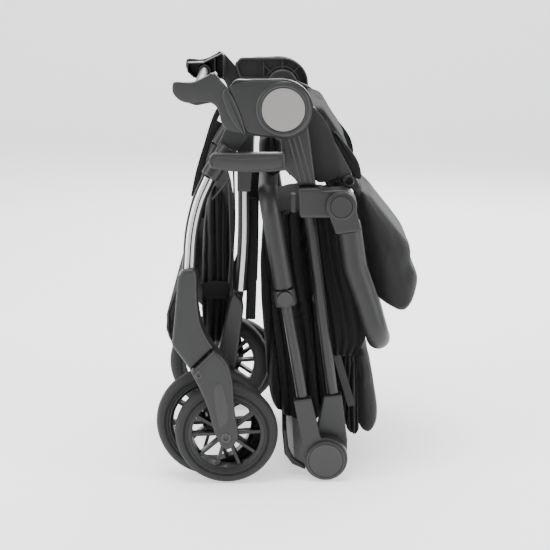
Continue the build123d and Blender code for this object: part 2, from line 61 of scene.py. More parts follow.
# ---- Studio: a pale floor that curves up behind, soft light from above and both
# sides, and a camera a little above the stroller's left side.
CAMERA_PLACE = (-0.020, -2.7538, 0.9042)
CAMERA_PITCH = 77.5
CAMERA_LENS = 108
camera_data = bpy.data.cameras.new("camera")
camera_data.lens = CAMERA_LENS
camera_data.sensor_width = 36
camera_data.clip_end = 50
camera = bpy.data.objects.new("camera", camera_data)
camera.location = CAMERA_PLACE
camera.rotation_euler = (math.radians(CAMERA_PITCH), 0, 0)
bpy.context.collection.objects.link(camera)
bpy.context.scene.camera = camera


class Socket:
    """A shader socket on which arithmetic adds Math nodes."""

    def __init__(self, maker, link):
        self.maker = maker
        self.link = link

    def math(self, operation, other=0.0, clamp=False):
        return self.maker.add("ShaderNodeMath", {"operation": operation, "use_clamp": clamp},
                              {0: self, 1: other})

    def __add__(self, other):
        return self.math("ADD", other)

    def __mul__(self, other):
        return self.math("MULTIPLY", other)

    def __sub__(self, other):
        return self.math("SUBTRACT", other)

    def __rsub__(self, other):
        return (self * -1.0) + other

    __radd__ = __add__
    __rmul__ = __mul__


class Finish:
    """One procedural material: a Principled shader and the nodes that feed it."""

    def __init__(self, name, colour, roughness, metallic=0.0, sheen=0.0, coat=0.0, gloss=0.4):
        self.material = bpy.data.materials.new(name)
        self.material.use_nodes = True
        self.tree = self.material.node_tree
        self.shader = self.tree.nodes["Principled BSDF"]
        self.shader.inputs["Base Color"].default_value = (*colour, 1)
        self.shader.inputs["Roughness"].default_value = roughness
        self.shader.inputs["Metallic"].default_value = metallic
        self.shader.inputs["Sheen Weight"].default_value = sheen
        self.shader.inputs["Sheen Roughness"].default_value = 0.4
        self.shader.inputs["Coat Weight"].default_value = coat
        self.shader.inputs["Specular IOR Level"].default_value = gloss
        self.place = self.add("ShaderNodeTexCoord", {}, {}, "Object")

    def add(self, kind, settings, inputs, output=0):
        node = self.tree.nodes.new(kind)
        for key, value in settings.items():
            setattr(node, key, value)
        for key, value in inputs.items():
            if isinstance(value, Socket):
                self.tree.links.new(value.link, node.inputs[key])
            else:
                node.inputs[key].default_value = value
        return Socket(self, node.outputs[output])

    def noise(self, scale, detail=4.0, roughness=0.6):
        return self.add("ShaderNodeTexNoise", {}, {"Vector": self.place, "Scale": scale,
                        "Detail": detail, "Roughness": roughness}, "Fac")

    def cells(self, scale):
        return self.add("ShaderNodeTexVoronoi", {"feature": "F1"},
                        {"Vector": self.place, "Scale": scale}, "Distance")

    def mix(self, factor, first, second):
        node = self.tree.nodes.new("ShaderNodeMix")
        node.data_type = "RGBA"
        self.tree.links.new(factor.link, node.inputs[0])
        for socket, value in ((node.inputs[6], first), (node.inputs[7], second)):
            if isinstance(value, Socket):
                self.tree.links.new(value.link, socket)
            else:
                socket.default_value = (*value, 1)
        return Socket(self, node.outputs[2])

    def feed(self, name, socket):
        self.tree.links.new(socket.link, self.shader.inputs[name])

    def bump(self, height, distance, strength=1.0):
        normal = self.add("ShaderNodeBump", {}, {"Height": height, "Distance": distance,
                          "Strength": strength}, "Normal")
        self.feed("Normal", normal)


def shade(value):
    """The linear value of a neutral grey given on a 0 to 255 scale."""
    part = value / 255
    return part / 12.92 if part < 0.04 else ((part + 0.055) / 1.055) ** 2.4


def grey(value, warm=0.0):
    return (shade(value + warm), shade(value), shade(value - warm))


def area_light(name, place, size, power, target):
    data = bpy.data.lights.new(name, "AREA")
    data.shape = "RECTANGLE"
    data.size, data.size_y = size
    data.energy = power
    light = bpy.data.objects.new(name, data)
    light.location = place
    light.rotation_euler = (Vector(target) - Vector(place)).to_track_quat("-Z", "Y").to_euler()
    bpy.context.collection.objects.link(light)


area_light("overhead_softbox", (-0.3, -0.2, 2.6), (1.8, 1.4), 70, (0, 0, 0.3))
area_light("left_softbox", (-2.3, -1.2, 1.3), (0.9, 1.8), 48, (0, 0, 0.35))
area_light("right_softbox", (2.3, -1.3, 1.2), (0.8, 1.8), 44, (0, 0, 0.3))
area_light("rear_softbox", (0.6, 2.4, 1.6), (2.0, 1.2), 60, (0, 0, 0.4))
world = bpy.data.worlds.new("studio")
bpy.context.scene.world = world
world.use_nodes = True
world.node_tree.nodes["Background"].inputs["Color"].default_value = (0.93, 0.94, 0.96, 1)
world.node_tree.nodes["Background"].inputs["Strength"].default_value = 0.75

floor_finish = Finish("studio_floor", (0.955, 0.958, 0.965), 0.9)
floor_finish.shader.inputs["Emission Color"].default_value = (1.0, 1.0, 1.0, 1)
floor_finish.shader.inputs["Emission Strength"].default_value = 0.80
floor_tone = floor_finish.noise(3.0, 2.0)
floor_finish.feed("Base Color", floor_finish.mix(floor_tone, (0.95, 0.953, 0.96),
                                                 (0.96, 0.963, 0.97)))


def surface(name, points, closed_u=False, closed_v=False, finish=None, smooth=60):
    """Mesh over a grid of points (rows along v, columns along u), with UVs in metres of the
    grid's own parameters 0 to 1; a closed direction joins its last line to its first."""
    rows, columns = points.shape[:2]
    index = np.arange(rows * columns).reshape(rows, columns)
    if closed_u:
        index = np.hstack([index, index[:, :1]])
    if closed_v:
        index = np.vstack([index, index[:1]])
    quads = np.stack([index[:-1, :-1], index[:-1, 1:], index[1:, 1:], index[1:, :-1]], -1)
    mesh = bpy.data.meshes.new(name)
    mesh.from_pydata(points.reshape(-1, 3).tolist(), [], quads.reshape(-1, 4).tolist())
    height, width = quads.shape[:2]
    v, u = np.meshgrid(np.arange(height), np.arange(width), indexing="ij")
    corner_u = np.stack([u, u + 1, u + 1, u], -1) / width
    corner_v = np.stack([v, v, v + 1, v + 1], -1) / height
    layer = mesh.uv_layers.new(name="surface")
    layer.data.foreach_set("uv", np.stack([corner_u, corner_v], -1).ravel().astype(np.float32))
    return piece_from(name, mesh, finish, smooth)


def piece_from(name, mesh, finish, smooth=60):
    """An object for a mesh: smooth but for edges sharper than the angle, in one finish."""
    mesh.validate()
    mesh.shade_smooth()
    mesh.set_sharp_from_angle(angle=math.radians(smooth))
    piece = bpy.data.objects.new(name, mesh)
    bpy.context.collection.objects.link(piece)
    if finish:
        mesh.materials.append(finish.material)
    return piece


def outward(mesh):
    work = bmesh.new()
    work.from_mesh(mesh)
    bmesh.ops.remove_doubles(work, verts=work.verts, dist=1e-6)
    bmesh.ops.recalc_face_normals(work, faces=work.faces)
    work.to_mesh(mesh)
    work.free()


FLOOR_HALF = 6.0
FLOOR_BACK = 3.4
bend = np.linspace(0, 1, 40)
floor_y = np.where(bend < 0.5, -4 + bend * 2 * (4 + FLOOR_BACK), FLOOR_BACK + (bend - 0.5) * 4)
floor_z = np.where(bend < 0.5, 0, ((bend - 0.5) * 2) ** 2 * 5)
floor_x = np.linspace(-FLOOR_HALF, FLOOR_HALF, 9)
floor_points = np.stack([np.broadcast_to(floor_x, (40, 9)), np.repeat(floor_y[:, None], 9, 1),
                         np.repeat(floor_z[:, None], 9, 1) - 0.0005], -1)
floor = surface("studio_floor", floor_points, finish=floor_finish)


def dress(node, finish):
    """Gives a CAD node its finish without touching its shape."""
    data = nodes[node].data
    data.materials.clear()
    data.materials.append(finish.material)


def apply_modifiers(piece):
    """Bakes the piece's modifiers into its mesh."""
    depsgraph = bpy.context.evaluated_depsgraph_get()
    mesh = bpy.data.meshes.new_from_object(piece.evaluated_get(depsgraph))
    piece.modifiers.clear()
    piece.data = mesh


def merged_copy(node, name):
    mesh = nodes[node].data.copy()
    work = bmesh.new()
    work.from_mesh(mesh)
    bmesh.ops.remove_doubles(work, verts=work.verts, dist=2e-5)
    work.to_mesh(mesh)
    work.free()
    mesh.materials.clear()
    piece = bpy.data.objects.new(name, mesh)
    bpy.context.collection.objects.link(piece)
    return piece


def settle(piece, node, *others):
    """The piece rides on the node's body and stands for it."""
    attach(piece, body_of_node[node])
    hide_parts(node, *others)
    return piece


def mould(node, finish, voxel=0.0013, rounds=8, name=None):
    """A moulded or cast copy of a node: its mesh is rebuilt on a fine lattice, then every
    vertex moves to the mean of its neighbours a few times, which rounds all the corners."""
    piece = merged_copy(node, name or node + "_moulding")
    remesh = piece.modifiers.new("lattice", "REMESH")
    remesh.mode = "VOXEL"
    remesh.voxel_size = voxel
    relax = piece.modifiers.new("relax", "SMOOTH")
    relax.factor = 0.5
    relax.iterations = rounds
    apply_modifiers(piece)
    piece.data.shade_smooth()
    piece.data.materials.append(finish.material)
    return settle(piece, node)


# ---- Moulded plastic: dark grey glass-filled nylon with a fine spark-eroded grain, a
# little lighter where it is handled. All castings of the frame share it.
def grained(name, dark, light, roughness, grain=2600, depth=0.00006, coat=0.0):
    finish = Finish(name, grey(dark), roughness, coat=coat)
    tone = finish.noise(9.0, 5.0)
    finish.feed("Base Color", finish.mix(tone, grey(dark), grey(light)))
    fine = finish.noise(grain, 2.0, 0.5)
    finish.feed("Roughness", fine * 0.12 + tone * 0.1 + (roughness - 0.1))
    finish.bump(fine + finish.noise(grain * 0.3, 2.0) * 0.5, depth)
    return finish


plastic = grained("moulded_grey_plastic", 29, 37, 0.40)
plastic_dark = grained("inner_black_plastic", 18, 24, 0.46)
plastic_face = grained("smooth_cover_plastic", 38, 44, 0.33, grain=3600, depth=0.00003)
rim_finish = grained("wheel_rim_plastic", 22, 28, 0.38)

# Hub housings: near-black plastic with a painted highlight on the rib crests and painted shade on
# the deep walls between them; the colour turns lighter inboard of |Y| = 0.1935.
ribbed = Finish("ribbed_inner_plastic", grey(12), 0.45)
crest = ribbed.add("ShaderNodeSeparateXYZ", {}, {0: ribbed.place}, 1).math("ABSOLUTE")
painted_crest_highlight = (0.1935 - crest).math("MULTIPLY", 700.0, clamp=True)
ribbed.feed("Base Color", ribbed.mix(painted_crest_highlight, grey(8), grey(52)))
ribbed.bump(ribbed.noise(2600, 2.0), 0.00004)
SIDES = (("left", -1), ("right", 1))
for side, sign in SIDES:
    dress(f"hub_housing_{side}", ribbed)
    for piece_name in ("front_knuckle", "front_shoe", "caster_fork", "fold_knuckle",
                       "handle_knuckle"):
        mould(f"{piece_name}_{side}", plastic)
mould("back_knuckles", plastic)
mould("bumper_mounts", plastic)
mould("bumper_ends", plastic)
mould("rear_knuckles", plastic)
mould("rear_shoes", plastic)
mould("handle_collars", plastic, voxel=0.001, rounds=4)
mould("hub_noses", plastic, voxel=0.001, rounds=5)
mould("fold_latch", plastic, voxel=0.0012, rounds=5)
mould("stand_rail", plastic_dark, voxel=0.0016, rounds=4)
mould("seat_rails", plastic, voxel=0.0014, rounds=3)
mould("leg_rest_hinge", plastic_dark, voxel=0.0016, rounds=3)
mould("brake_pedal", plastic, voxel=0.0014, rounds=5)
dress("canopy_strips", plastic_dark)
dress("nose_crossbar", plastic)
dress("seat_front_tube", plastic_dark)
dress("fold_caps", plastic_face)
for side, sign in SIDES:
    dress(f"height_button_{side}", plastic_face)
    dress(f"release_button_{side}", plastic)

# ---- Hub covers: a soft-edged shell over each housing with a turned ring round the
# badge. The shell is a smooth outline whose edge rolls over in a quarter circle.
CURVE_POINTS = 160


def smooth_outline(points, count=CURVE_POINTS, power=0.5):
    """Closed Catmull-Rom curve through the points, at equal steps of its length."""
    knots = np.array(points, float)
    before, after = np.roll(knots, 1, 0), np.roll(knots, -1, 0)
    beyond = np.roll(knots, -2, 0)
    t = np.linspace(0, 1, 24, endpoint=False)[None, :, None]
    a, b, c, d = (side[:, None, :] for side in (before, knots, after, beyond))
    curve = b + power * t * (c - a + t * (2 * a - 5 * b + 4 * c - d + t * (3 * b - 3 * c + d - a)))
    curve = curve.reshape(-1, 2)
    step = np.linalg.norm(np.diff(np.vstack([curve, curve[:1]]), axis=0), axis=1)
    length = np.concatenate([[0], np.cumsum(step)])
    wanted = np.linspace(0, length[-1], count, endpoint=False)
    loop = np.vstack([curve, curve[:1]])
    return np.stack([np.interp(wanted, length, loop[:, k]) for k in (0, 1)], -1)


def outline_normals(curve):
    """Unit vectors out of a closed outline, whichever way round it runs."""
    along = np.roll(curve, -1, 0) - np.roll(curve, 1, 0)
    area = np.sum(curve[:, 0] * np.roll(curve[:, 1], -1) - curve[:, 1] * np.roll(curve[:, 0], -1))
    normal = np.stack([along[:, 1], -along[:, 0]], -1) * np.sign(area)
    return normal / np.linalg.norm(normal, axis=1, keepdims=True)


def shell(name, curve, sign, steps, finish, smooth=50):
    """A plate of the side view: each step is (depth, inset), and one ring of the outline
    drawn in by the inset lies at that depth; the first and last rings are closed flat."""
    normal = outline_normals(curve)
    rings = np.stack([np.column_stack([
        (curve - inset * normal)[:, 0], np.full(len(curve), sign * depth),
        (curve - inset * normal)[:, 1]]) for depth, inset in steps])
    rows, columns = rings.shape[:2]
    index = np.arange(rows * columns).reshape(rows, columns)
    around = np.hstack([index, index[:, :1]])
    quads = np.stack([around[:-1, :-1], around[:-1, 1:], around[1:, 1:], around[1:, :-1]], -1)
    faces = quads.reshape(-1, 4).tolist() + [index[0].tolist(), index[-1].tolist()]
    mesh = bpy.data.meshes.new(name)
    mesh.from_pydata(rings.reshape(-1, 3).tolist(), [], faces)
    outward(mesh)
    return piece_from(name, mesh, finish, smooth)


def rolled(inner, outer, radius, base=0.0, turns=6):
    """Steps of a shell whose outer edge is a quarter circle of the radius."""
    angle = np.linspace(0, math.pi / 2, turns)
    edge = [(outer - radius + radius * math.sin(a), base + radius * (1 - math.cos(a)))
            for a in angle]
    return [(inner, base)] + edge


def joint(name):
    return next(j for j in record["behaviour"]["joints"] if j["name"] == name)


def flat(place):
    return np.array([place[0], place[2]])


pivot = flat(joint("main_fold")["pos_m"])
hub_low, hub_high = (np.array(c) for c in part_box("hub_housing_left"))
hub_top = hub_high[2]
hub_bottom = hub_low[2]
hub_outer = abs(hub_low[1]) - 0.002
RING = 0.045
BADGE = 0.0335
cover_outline = smooth_outline([
    (hub_low[0] - 0.001, hub_top - 0.014), (hub_low[0] + 0.010, hub_top - 0.005),
    (hub_low[0] + 0.030, hub_top + 0.0005), (pivot[0] - 0.03, hub_top + 0.001),
    (pivot[0] + 0.004, hub_top + 0.001), (pivot[0] + 0.028, pivot[1] + 0.036),
    (pivot[0] + 0.0455, pivot[1] + 0.006), (pivot[0] + 0.038, pivot[1] - 0.025),
    (pivot[0] + 0.014, pivot[1] - 0.0435), (pivot[0] - 0.025, pivot[1] - 0.0435),
    (hub_low[0] + 0.034, hub_bottom + 0.006), (hub_low[0] + 0.022, hub_bottom + 0.014),
    (hub_low[0] + 0.012, hub_bottom + 0.040)])

for side, sign in SIDES:
    cover = shell(f"hub_cover_{side}", cover_outline, sign,
                  rolled(hub_outer - 0.006, hub_outer + 0.0012, 0.006), plastic)
    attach(cover, "hub")
    ring_profile = np.array([
        (BADGE + 0.0008, -0.002), (BADGE + 0.0008, 0.0018), (BADGE + 0.0018, 0.0030),
        (RING - 0.0065, 0.0034), (RING - 0.0035, 0.0026), (RING - 0.0008, 0.0004),
        (RING, -0.0020)])
    turn = np.linspace(0, 2 * math.pi, 128, endpoint=False)
    radius = ring_profile[:, 0][:, None]
    ring_points = np.stack([
        pivot[0] + radius * np.cos(turn), sign * (hub_outer + ring_profile[:, 1][:, None])
        + 0 * turn, pivot[1] + radius * np.sin(turn)], -1)
    ring = surface(f"hub_ring_{side}", ring_points, closed_u=True, closed_v=True,
                   finish=plastic_face)
    outward(ring.data)
    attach(ring, "hub")

# ---- Noses: a domed cheek over each beak and neck, and a raised crescent where the neck
# meets the cover.
cheek_outline = smooth_outline([
    (pivot[0] - 0.1668, pivot[1] + 0.0430), (pivot[0] - 0.1400, pivot[1] + 0.0425),
    (pivot[0] - 0.1180, pivot[1] + 0.0520), (pivot[0] - 0.1095, pivot[1] + 0.0555),
    (pivot[0] - 0.0885, pivot[1] + 0.0335), (pivot[0] - 0.0740, pivot[1] + 0.0020),
    (pivot[0] - 0.0610, pivot[1] - 0.0330), (pivot[0] - 0.0680, pivot[1] - 0.0370),
    (pivot[0] - 0.0863, pivot[1] - 0.0320), (pivot[0] - 0.0965, pivot[1] - 0.0190),
    (pivot[0] - 0.1000, pivot[1] - 0.0030), (pivot[0] - 0.1080, pivot[1] + 0.0080),
    (pivot[0] - 0.1230, pivot[1] + 0.0120), (pivot[0] - 0.1440, pivot[1] + 0.0100),
    (pivot[0] - 0.1600, pivot[1] + 0.0140), (pivot[0] - 0.1705, pivot[1] + 0.0250),
    (pivot[0] - 0.1715, pivot[1] + 0.0370)])
crescent_outline = smooth_outline([
    (pivot[0] - 0.0905, pivot[1] + 0.0325), (pivot[0] - 0.0845, pivot[1] + 0.0290),
    (pivot[0] - 0.0740, pivot[1] + 0.0105), (pivot[0] - 0.0640, pivot[1] - 0.0160),
    (pivot[0] - 0.0585, pivot[1] - 0.0375), (pivot[0] - 0.0650, pivot[1] - 0.0370),
    (pivot[0] - 0.0790, pivot[1] - 0.0200), (pivot[0] - 0.0900, pivot[1] + 0.0050),
    (pivot[0] - 0.0950, pivot[1] + 0.0220)])
for side, sign in SIDES:
    cheek = shell(f"nose_cheek_{side}", cheek_outline, sign,
                  rolled(hub_outer - 0.003, hub_outer + 0.0012, 0.0022, turns=9), plastic_face)
    crescent = shell(f"neck_crescent_{side}", crescent_outline, sign,
                     rolled(hub_outer - 0.001, hub_outer + 0.0036, 0.0026, turns=9), plastic_face)
    for face_piece in (cheek, crescent):
        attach(face_piece, "hub")

badge = Finish("badge_insert", grey(134, 2), 0.3, metallic=0.25, coat=0.2)
badge_grain = badge.noise(700, 3.0)
badge.feed("Base Color", badge.mix(badge_grain, grey(128, 2), grey(138, 2)))
badge.feed("Roughness", badge_grain * 0.15 + 0.24)
badge.bump(badge_grain, 0.00002)
dress("hub_badges", badge)

steel = Finish("zinc_plated_steel", grey(150), 0.28, metallic=0.9)
steel_grain = steel.noise(900, 3.0)
steel.feed("Roughness", steel_grain * 0.2 + 0.2)
steel.bump(steel_grain, 0.00002)
for pin_node in ("back_pivot_pins", "leg_pivot_pins", "kingpin_left", "kingpin_right",
                 "front_axle_left", "front_axle_right", "rear_axle"):
    dress(pin_node, steel)

# ---- Leg tubes: curved aluminium tubes, painted black, with bright painted highlight streaks on
# the outboard side (two on each front tube, one on each rear). Each is a round section carried
# along its centre line.


def spline(points, count):
    """Catmull-Rom curve through open points, at equal steps of its length."""
    knots = np.array(points, float)
    padded = np.vstack([2 * knots[0] - knots[1], knots, 2 * knots[-1] - knots[-2]])
    t = np.linspace(0, 1, 16, endpoint=False)[None, :, None]
    a, b, c, d = (padded[k:len(padded) - 3 + k][:, None, :] for k in range(4))
    curve = b + 0.5 * t * (c - a + t * (2 * a - 5 * b + 4 * c - d + t * (3 * b - 3 * c + d - a)))
    curve = np.vstack([curve.reshape(-1, knots.shape[1]), knots[-1:]])
    length = np.concatenate([[0], np.cumsum(np.linalg.norm(np.diff(curve, axis=0), axis=1))])
    wanted = np.linspace(0, length[-1], count)
    return np.stack([np.interp(wanted, length, curve[:, k]) for k in range(knots.shape[1])], -1)


def sweep(path, radius, around=40, flatten=1.0, side=(0, 1, 0)):
    """Rings along a path: across it, one axis is the side vector made square to the path
    and the other is their cross product; the ring is an ellipse on these two."""
    along = np.gradient(path, axis=0)
    along /= np.linalg.norm(along, axis=1, keepdims=True)
    across = np.array(side, float) - along * (along @ np.array(side, float))[:, None]
    across /= np.linalg.norm(across, axis=1, keepdims=True)
    third = np.cross(along, across)
    turn = np.linspace(0, 2 * math.pi, around, endpoint=False)
    size = np.broadcast_to(np.asarray(radius, float), (len(path),))[:, None, None]
    return (path[:, None, :] + size * (np.cos(turn)[None, :, None] * flatten * across[:, None, :]
            + np.sin(turn)[None, :, None] * third[:, None, :]))


def highlight_streaked_paint(name, highlight_streaks):
    """Black paint with painted highlight streaks; a streak is (centre, half width) in turns round
    the tube.
    """
    finish = Finish(name, grey(16), 0.35)
    uv = finish.add("ShaderNodeUVMap", {"uv_map": "surface"}, {}, "UV")
    turn = finish.add("ShaderNodeSeparateXYZ", {}, {0: uv}, 0)
    mask = None
    for centre, half in highlight_streaks:
        away = (turn - centre).math("ABSOLUTE")
        band = (half - away).math("MULTIPLY", 900.0, clamp=True)
        mask = band if mask is None else mask + band
    tone = finish.noise(60, 3.0)
    # The streaks are painted highlights: near-white and part metallic where reflections of the
    # lights would run along the tube.
    finish.feed("Base Color", finish.mix(mask, grey(16), grey(205)))
    finish.feed("Metallic", mask * 0.55)
    finish.feed("Roughness", tone * 0.1 + 0.28)
    finish.bump(finish.noise(1500, 2.0) + mask * 0.4, 0.00004)
    return finish


# Painted highlight streaks, mirrored to the outboard side of each tube.
front_highlight_paints = {-1: highlight_streaked_paint("front_tube_paint_left", ((0.56, 0.055), (0.445, 0.03))),
                 1: highlight_streaked_paint("front_tube_paint_right", ((0.06, 0.055), (0.945, 0.03)))}
rear_highlight_paints = {-1: highlight_streaked_paint("rear_tube_paint_left", ((0.49, 0.055),)),
                1: highlight_streaked_paint("rear_tube_paint_right", ((0.01, 0.055),))}
leg_pivot = flat(joint("front_fold")["pos_m"])
FRONT_LINE = ((-0.059, 0.1914, -0.0922), (-0.075, 0.197, -0.129), (-0.086, 0.203, -0.177),
              (-0.0905, 0.213, -0.239))
REAR_LINE = ((-0.004, 0.152, -0.117), (-0.005, 0.152, -0.198), (-0.011, 0.152, -0.281))
for label, line, radius, paints in (("front", FRONT_LINE, 0.01125, front_highlight_paints),
                                    ("rear", REAR_LINE, 0.0101, rear_highlight_paints)):
    for side, sign in SIDES:
        path = spline([(leg_pivot[0] + x, sign * y, leg_pivot[1] + z) for x, y, z in line], 60)
        rings = sweep(path, radius, around=48)
        tube = surface(f"{label}_leg_tube_{side}", rings, closed_u=True, finish=paints[sign])
        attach(tube, f"{label}_frame")
        if sign > 0:
            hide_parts(f"{label}_tubes")

# ---- Painted tubes of the back frame and the handle: satin anodised aluminium.
tube_paint = grained("satin_tube_paint", 26, 30, 0.32, grain=1800, depth=0.00002)
dress("back_tubes", tube_paint)
dress("handle_tubes", tube_paint)

# ---- Padded leatherette of the grip and the bumper bar: a stitched cover over foam, with
# a fine pebbled grain and a seam along the inside.


def leatherette():
    finish = Finish("black_leatherette", grey(26), 0.42)
    tone = finish.noise(14.0, 4.0)
    finish.feed("Base Color", finish.mix(tone, grey(22), grey(32)))
    pebble = finish.cells(900)
    finish.feed("Roughness", pebble * 0.18 + tone * 0.1 + 0.28)
    finish.bump(pebble + finish.noise(500, 3.0) * 0.4, 0.00016)
    return finish


leather = leatherette()
dress("handle_grip", leather)
dress("bumper_bar", leather)

# ---- Wheels: closed-cell foam tyres with two fine grooves in the outer side wall, turned as a
# profile about the axle, on moulded rims with five pairs of spokes.


def lathe(name, centre, profile, sign, finish, count=160, smooth=40):
    """A closed profile of (radius, depth) turned round the Y axis through the centre."""
    turn = np.linspace(0, 2 * math.pi, count, endpoint=False)
    radius = np.array(profile)[:, 0][:, None]
    depth = np.array(profile)[:, 1][:, None]
    points = np.stack([centre[0] + radius * np.cos(turn), sign * depth + 0 * turn,
                       centre[1] + radius * np.sin(turn)], -1)
    piece = surface(name, points, closed_u=True, closed_v=True, finish=finish, smooth=smooth)
    outward(piece.data)
    return piece


def tyre_profile(radius, near, far):
    """Half a barrel: round shoulders, and two shallow grooves in the outer wall."""
    shoulder = 0.011
    seat = radius - 0.0222
    angle = np.linspace(0, math.pi / 2, 8)
    crown = 0.0012
    out = [(seat, far - 0.0015), (seat + 0.002, far)]
    for groove in (0.40, 0.62):
        middle = seat + 0.002 + (radius - shoulder - seat - 0.002) * groove
        out += [(middle - 0.0009, far), (middle - 0.0005, far - 0.0011),
                (middle + 0.0005, far - 0.0011), (middle + 0.0009, far)]
    out += [(radius - crown - shoulder + shoulder * math.sin(a),
             far - shoulder + shoulder * math.cos(a)) for a in angle]
    out += [(radius, (near + far) / 2)]
    out += [(radius - crown - shoulder + shoulder * math.cos(a),
             near + shoulder - shoulder * math.sin(a)) for a in angle]
    out += [(seat + 0.002, near), (seat, near + 0.0015)]
    return out


foam = Finish("foam_tyre", grey(24), 0.72)
foam_tone = foam.noise(22, 5.0)
foam.feed("Base Color", foam.mix(foam_tone, grey(20), grey(30)))
foam_grain = foam.noise(1500, 3.0)
foam.feed("Roughness", foam_grain * 0.15 + 0.62)
foam.bump(foam_grain, 0.00012)

for axle in ("front", "rear"):
    for side, sign in SIDES:
        node = f"{axle}_tyre_{side}"
        tyre_low, tyre_high = (np.array(c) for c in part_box(node))
        centre = ((tyre_low + tyre_high) / 2)[[0, 2]]
        radius = (tyre_high[0] - tyre_low[0]) / 2
        near, far = sorted((abs(tyre_low[1]), abs(tyre_high[1])))
        tyre = lathe(f"{axle}_tyre_foam_{side}", centre, tyre_profile(radius, near, far), sign,
                     foam)
        settle(tyre, node)
        dress(f"{axle}_rim_{side}", rim_finish)
        lip = lathe(f"{axle}_rim_lip_{side}", centre,
                    [(radius - 0.0275, far - 0.005), (radius - 0.0225, far - 0.005),
                     (radius - 0.0215, far - 0.0015), (radius - 0.0235, far - 0.0005),
                     (radius - 0.0270, far - 0.0025)], sign, rim_finish)
        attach(lip, f"{axle}_wheel_{side}")
        boss = lathe(f"{axle}_wheel_boss_{side}", centre,
                     [(0.0062, far - 0.003), (0.0062, far - 0.0002), (0.0075, far + 0.0006),
                      (0.0125, far - 0.0004), (0.0148, far - 0.0025), (0.0148, far - 0.006),
                      (0.0070, far - 0.006)], sign, rim_finish)
        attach(boss, f"{axle}_wheel_{side}")

# ---- Screws: pan heads with a hexagon socket, on the fork arms and at the axles.


def screw(name, centre, depth, sign, radius, body):
    """A dished head of revolution whose hollow middle is a six-sided well."""
    turn = np.linspace(0, 2 * math.pi, 60, endpoint=False)
    hexagon = 0.55 * radius * math.cos(math.pi / 6) / np.cos((turn + math.pi / 6)
                                                             % (math.pi / 3) - math.pi / 6)
    rows = [(radius, -0.001), (radius, 0.0006), (radius * 0.9, 0.0014), (radius * 0.68, 0.0016)]
    rings = [np.stack([centre[0] + r * np.cos(turn), np.full(60, sign * (depth + d)),
                       centre[1] + r * np.sin(turn)], -1) for r, d in rows]
    for d in (0.0016, -0.0008):
        rings.append(np.stack([centre[0] + hexagon * np.cos(turn), np.full(60, sign * (depth + d)),
                               centre[1] + hexagon * np.sin(turn)], -1))
    mesh_points = np.stack(rings)
    rows_count, columns = mesh_points.shape[:2]
    index = np.arange(rows_count * columns).reshape(rows_count, columns)
    around = np.hstack([index, index[:, :1]])
    quads = np.stack([around[:-1, :-1], around[:-1, 1:], around[1:, 1:], around[1:, :-1]], -1)
    mesh = bpy.data.meshes.new(name)
    mesh.from_pydata(mesh_points.reshape(-1, 3).tolist(), [],
                     quads.reshape(-1, 4).tolist() + [index[0].tolist(), index[-1].tolist()])
    outward(mesh)
    head = piece_from(name, mesh, steel_dark, 35)
    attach(head, body)


steel_dark = grained("blackened_screw_steel", 40, 54, 0.28, grain=1200, depth=0.00002)
for side, sign in SIDES:
    fork_low, fork_high = (np.array(c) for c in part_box(f"caster_fork_{side}"))
    fork_face = max(abs(fork_low[1]), abs(fork_high[1]))
    axle_centre = flat(joint(f"front_wheel_{side}_spin")["pos_m"])
    knee = (fork_low[0] + 0.0125, fork_high[2] - 0.039)
    screw(f"axle_screw_{side}", axle_centre, fork_face, sign, 0.0082, f"caster_{side}")
    screw(f"fork_screw_{side}", knee, fork_face, sign, 0.0062, f"caster_{side}")
    inlay_outline = smooth_outline([
        (axle_centre[0] - 0.019, axle_centre[1] + 0.078), (axle_centre[0] - 0.011,
         axle_centre[1] + 0.091), (axle_centre[0] - 0.003, axle_centre[1] + 0.082),
        (axle_centre[0] + 0.004, axle_centre[1] + 0.034), (axle_centre[0] - 0.006,
         axle_centre[1] + 0.018), (axle_centre[0] - 0.012, axle_centre[1] + 0.022)])
    inlay = shell(f"fork_inlay_{side}", inlay_outline, sign,
                  rolled(fork_face - 0.001, fork_face + 0.0009, 0.0008), plastic_face)
    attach(inlay, f"caster_{side}")

# ---- Fold latch: a long hooked lever with a raised soft strip along its face.
latch_low, latch_high = (np.array(c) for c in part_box("fold_latch"))
latch_mid = (latch_low[2] + latch_high[2]) / 2
strip_outline = smooth_outline([
    (latch_low[0] + 0.008, latch_mid + 0.0005), (latch_low[0] + 0.013, latch_mid + 0.0085),
    (latch_low[0] + 0.055, latch_mid + 0.0062), (latch_high[0] - 0.014, latch_mid + 0.0085),
    (latch_high[0] - 0.007, latch_mid), (latch_high[0] - 0.014, latch_mid - 0.0075),
    (latch_low[0] + 0.055, latch_mid - 0.0105), (latch_low[0] + 0.013, latch_mid - 0.0080)])
strip = shell("latch_strip", strip_outline, -1,
              rolled(abs(latch_low[1]) - 0.001, abs(latch_low[1]) + 0.0010, 0.0009), plastic_face)
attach(strip, "latch")

def closed_ends(piece):
    """Fills the open ends of a tube or a wall and turns its faces outwards."""
    work = bmesh.new()
    work.from_mesh(piece.data)
    bmesh.ops.holes_fill(work, edges=work.edges, sides=0)
    bmesh.ops.recalc_face_normals(work, faces=work.faces)
    work.to_mesh(piece.data)
    work.free()
    return piece


def strap(name, points, width, thick, finish, body):
    """Flat webbing: an oval section, thin along Y, carried along a smooth route."""
    rings = sweep(spline(points, 70), width / 2, around=20, flatten=thick / width)
    piece = closed_ends(surface(name, rings, closed_u=True, finish=finish, smooth=70))
    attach(piece, body)
    return piece


